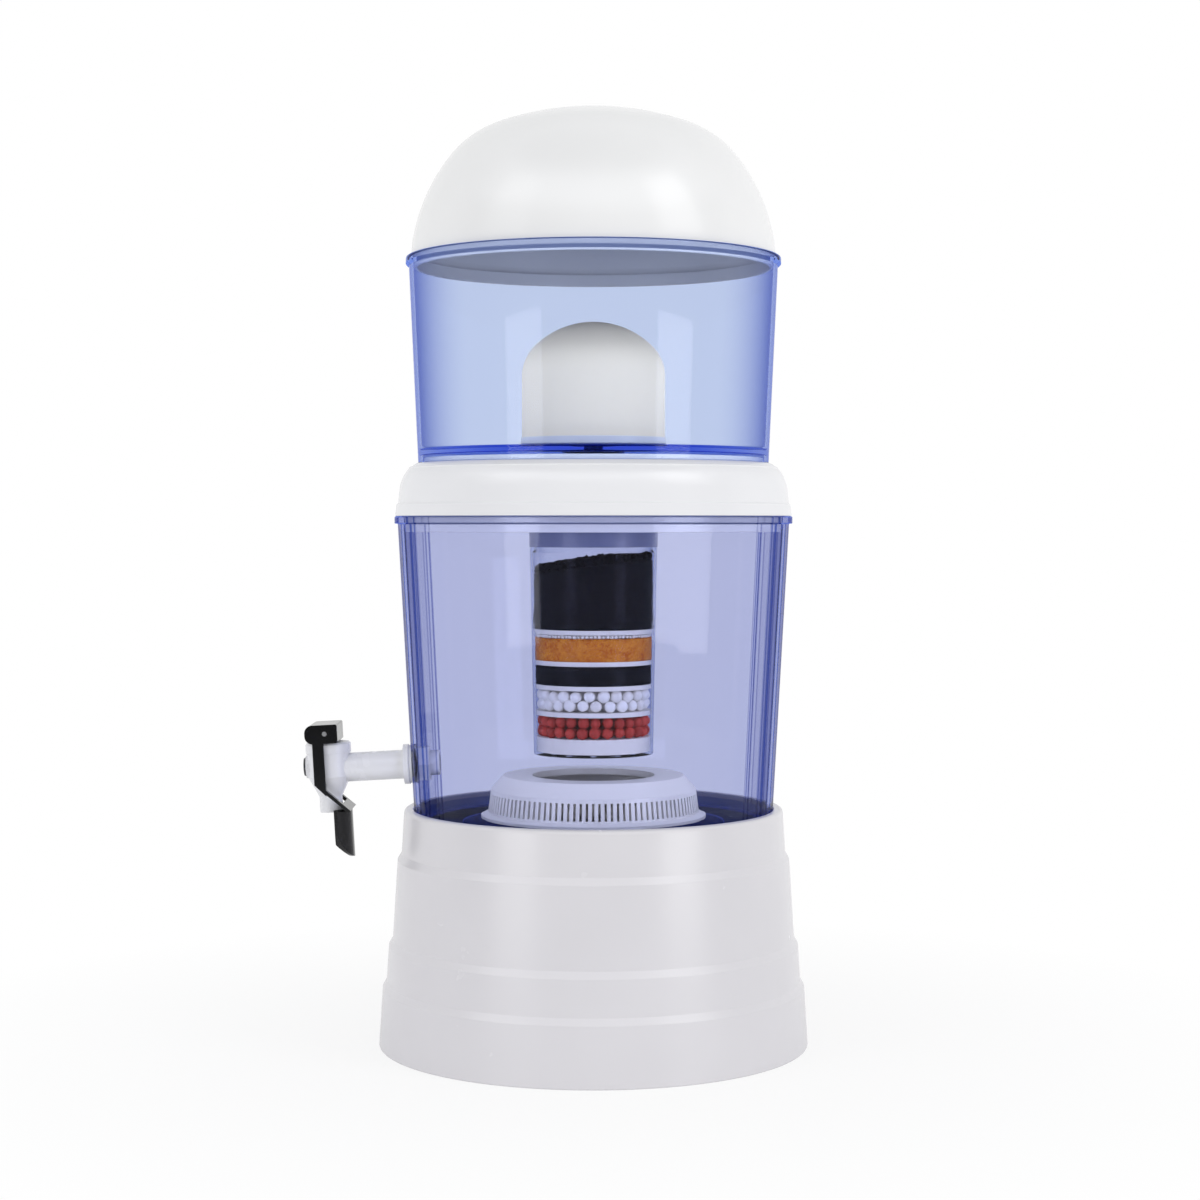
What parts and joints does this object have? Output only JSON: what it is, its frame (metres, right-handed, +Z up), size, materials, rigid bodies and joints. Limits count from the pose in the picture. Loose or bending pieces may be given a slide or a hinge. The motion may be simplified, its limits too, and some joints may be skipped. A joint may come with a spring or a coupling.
{
  "type": "gravity water filter",
  "caption": "Stacked gravity water filter: domed lid, clear blue upper tank with ceramic dome, mineral cartridge in a clear blue lower tank, push tap and white banded stand.",
  "frame": {"origin": "on the upright axis of the tanks, in the plane of the stand's foot", "axes": "+Z up, the tap points along -Y, +X to the right of someone facing the tap"},
  "size_m": [0.2768, 0.3255, 0.6],
  "materials": {
    "stand_plastic": "smooth white moulding, semi gloss",
    "cover_plastic": "smooth white moulding, gloss",
    "lid_plastic": "smooth white moulding, gloss",
    "tank_plastic": "clear blue moulding, high gloss",
    "filter_ceramic": "unglazed fine white ceramic, matt",
    "filter_plastic": "white moulding, satin",
    "silicone": "white silicone, matt",
    "cartridge_cap_plastic": "blue grey moulding, satin",
    "cartridge_clear": "clear moulding, high gloss",
    "felt": "pressed white felt",
    "red_mineral": "fired red mineral balls, matt",
    "white_mineral": "white mineral balls, satin",
    "carbon": "black activated carbon grains",
    "resin": "amber resin beads, translucent",
    "case_plastic": "milky translucent moulding, satin",
    "stones": "tumbled pale mineral stones",
    "tap_plastic": "white moulding, semi gloss",
    "disc_plastic": "dark grey plain insert, satin",
    "lever_plastic": "black moulding, gloss",
    "pin_steel": "turned stainless pin",
    "spring_steel": "drawn stainless wire"
  },
  "bodies": {
    "stand": {"base_stand": "stand_plastic"},
    "lower_tank": {"lower_tank": "tank_plastic", "case_basket": "case_plastic", "case_lid": "case_plastic", "mineral_stones": "stones", "tap_body": "tap_plastic", "tap_bonnet": "tap_plastic", "tap_disc": "disc_plastic", "tap_outer_washer": "silicone", "tap_inner_washer": "silicone", "tap_nut": "tap_plastic", "valve_spring": "spring_steel"},
    "middle_cover": {"middle_cover": "cover_plastic", "cover_basin": "cover_plastic", "cartridge_cap": "cartridge_cap_plastic", "cartridge_cup": "cartridge_clear", "cartridge_pad": "felt", "cartridge_screens": "felt", "coral_ball_bed": "red_mineral", "silica_ball_bed": "white_mineral", "fine_carbon_bed": "carbon", "resin_bed": "resin", "coarse_carbon_bed": "carbon"},
    "upper_tank": {"upper_tank": "tank_plastic", "ceramic_dome": "filter_ceramic", "filter_base": "filter_plastic", "filter_gasket": "silicone", "nut_gasket": "silicone", "wing_nut": "filter_plastic"},
    "lid": {"lid_dome": "lid_plastic"},
    "valve": {"valve_stem": "tap_plastic", "valve_seal": "silicone"},
    "lever": {"tap_lever": "lever_plastic", "lever_pin": "pin_steel"}
  },
  "joints": [
    {"name": "lower_tank_lift", "type": "slide", "parent": "stand", "child": "lower_tank", "axis": [0, 0, 1], "range_m": [0, 0.05]},
    {"name": "cover_lift", "type": "slide", "parent": "lower_tank", "child": "middle_cover", "axis": [0, 0, 1], "range_m": [0, 0.17]},
    {"name": "upper_tank_lift", "type": "slide", "parent": "middle_cover", "child": "upper_tank", "axis": [0, 0, 1], "range_m": [0, 0.06]},
    {"name": "lid_lift", "type": "slide", "parent": "upper_tank", "child": "lid", "axis": [0, 0, 1], "range_m": [0, 0.06]},
    {"name": "valve_lift", "type": "slide", "parent": "lower_tank", "child": "valve", "axis": [0, -0.0541, 0.9985], "range_m": [0, 0.00277], "deforming": ["valve_spring"]},
    {"name": "lever_push", "type": "hinge", "parent": "valve", "child": "lever", "pos_m": [0, -0.17196, 0.20064], "axis": [1, 0, 0], "range_deg": [0, 20], "stiffness_Nm_per_rad": 0.05, "springref_deg": -8.59}
  ],
  "couplings": [
    {"joint": "valve_lift", "follows": "lever_push", "m_per_rad": 0.0078}
  ]
}
